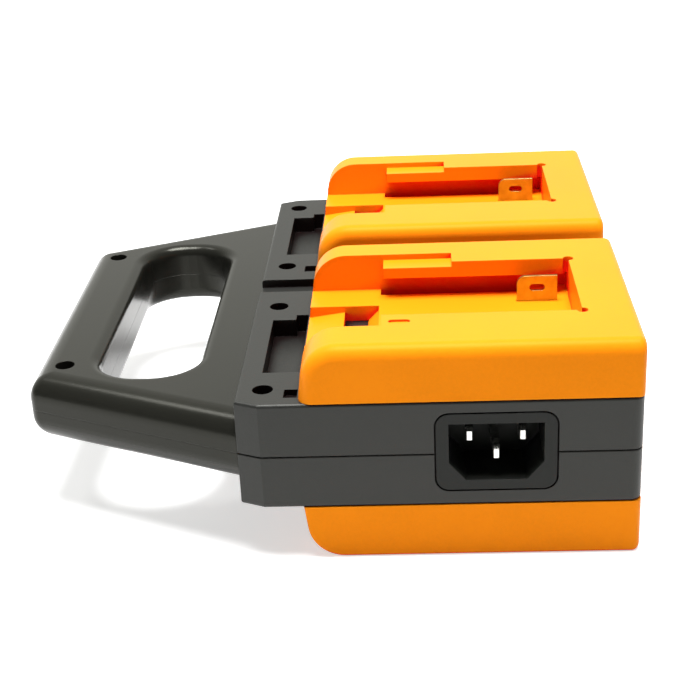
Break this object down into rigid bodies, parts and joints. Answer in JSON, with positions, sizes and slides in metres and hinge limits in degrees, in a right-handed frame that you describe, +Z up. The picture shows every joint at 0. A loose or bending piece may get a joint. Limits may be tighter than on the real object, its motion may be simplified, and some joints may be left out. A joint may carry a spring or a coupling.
{
  "type": "battery charger",
  "caption": "Flat charger with a carrying handle and slide-on battery docks on its upper and lower decks, fed through a mains inlet in its side.",
  "frame": {"origin": "middle of the footprint, on the surface the charger lies on", "axes": "+X from the handle to the closed dock ends, +Y away from the mains inlet's side, +Z up"},
  "size_m": [0.1696, 0.166, 0.062],
  "materials": {
    "case_black": "satin black moulded plastic with a fine texture",
    "handle_black": "satin black moulded plastic",
    "dock_orange": "orange moulded plastic, semi-gloss",
    "holder_black": "black moulded plastic",
    "contact_copper": "copper alloy strip",
    "inlet_black": "black moulded plastic",
    "pin_nickel": "nickel-plated",
    "screw_black": "blackened steel",
    "screw_zinc": "zinc-plated steel",
    "board_green": "glass-fibre laminate with solder mask",
    "lead_sheath": "stranded lead in a red sheath",
    "mains_sheath": "stranded lead in a blue sheath",
    "can_sleeve": "sleeved aluminium can",
    "sink_aluminium": "extruded aluminium",
    "ferrite": "sintered ferrite",
    "winding_copper": "enamelled copper wire",
    "chip_black": "moulded package",
    "fuse_glass": "glass fuse with metal caps"
  },
  "bodies": {
    "root": {"board_screws": "screw_zinc", "bridge_rectifier": "chip_black", "bulk_capacitors": "can_sleeve", "case_lower": "case_black", "case_upper": "case_black", "circuit_board": "board_green", "contact_blades_bottom_front": "contact_copper", "contact_blades_bottom_rear": "contact_copper", "contact_blades_top_front": "contact_copper", "contact_blades_top_rear": "contact_copper", "contact_holder_bottom_front": "holder_black", "contact_holder_bottom_rear": "holder_black", "contact_holder_top_front": "holder_black", "contact_holder_top_rear": "holder_black", "control_chip": "chip_black", "deck_screws": "screw_black", "dock_bottom_front": "dock_orange", "dock_bottom_rear": "dock_orange", "dock_leads_bottom_front": "lead_sheath", "dock_leads_bottom_rear": "lead_sheath", "dock_leads_top_front": "lead_sheath", "dock_leads_top_rear": "lead_sheath", "dock_screws": "screw_zinc", "dock_top_front": "dock_orange", "dock_top_rear": "dock_orange", "filter_choke": "winding_copper", "fuse": "fuse_glass", "handle_lower": "handle_black", "handle_screws": "screw_black", "handle_upper": "handle_black", "heat_sink_primary": "sink_aluminium", "heat_sink_secondary": "sink_aluminium", "inlet_pin_earth": "pin_nickel", "inlet_pin_line": "pin_nickel", "inlet_pin_neutral": "pin_nickel", "inlet_shell": "inlet_black", "mains_lead_earth": "mains_sheath", "mains_lead_line": "mains_sheath", "mains_lead_neutral": "mains_sheath", "output_capacitors": "can_sleeve", "transformer_core": "ferrite", "transformer_winding": "winding_copper"}
  },
  "joints": []
}
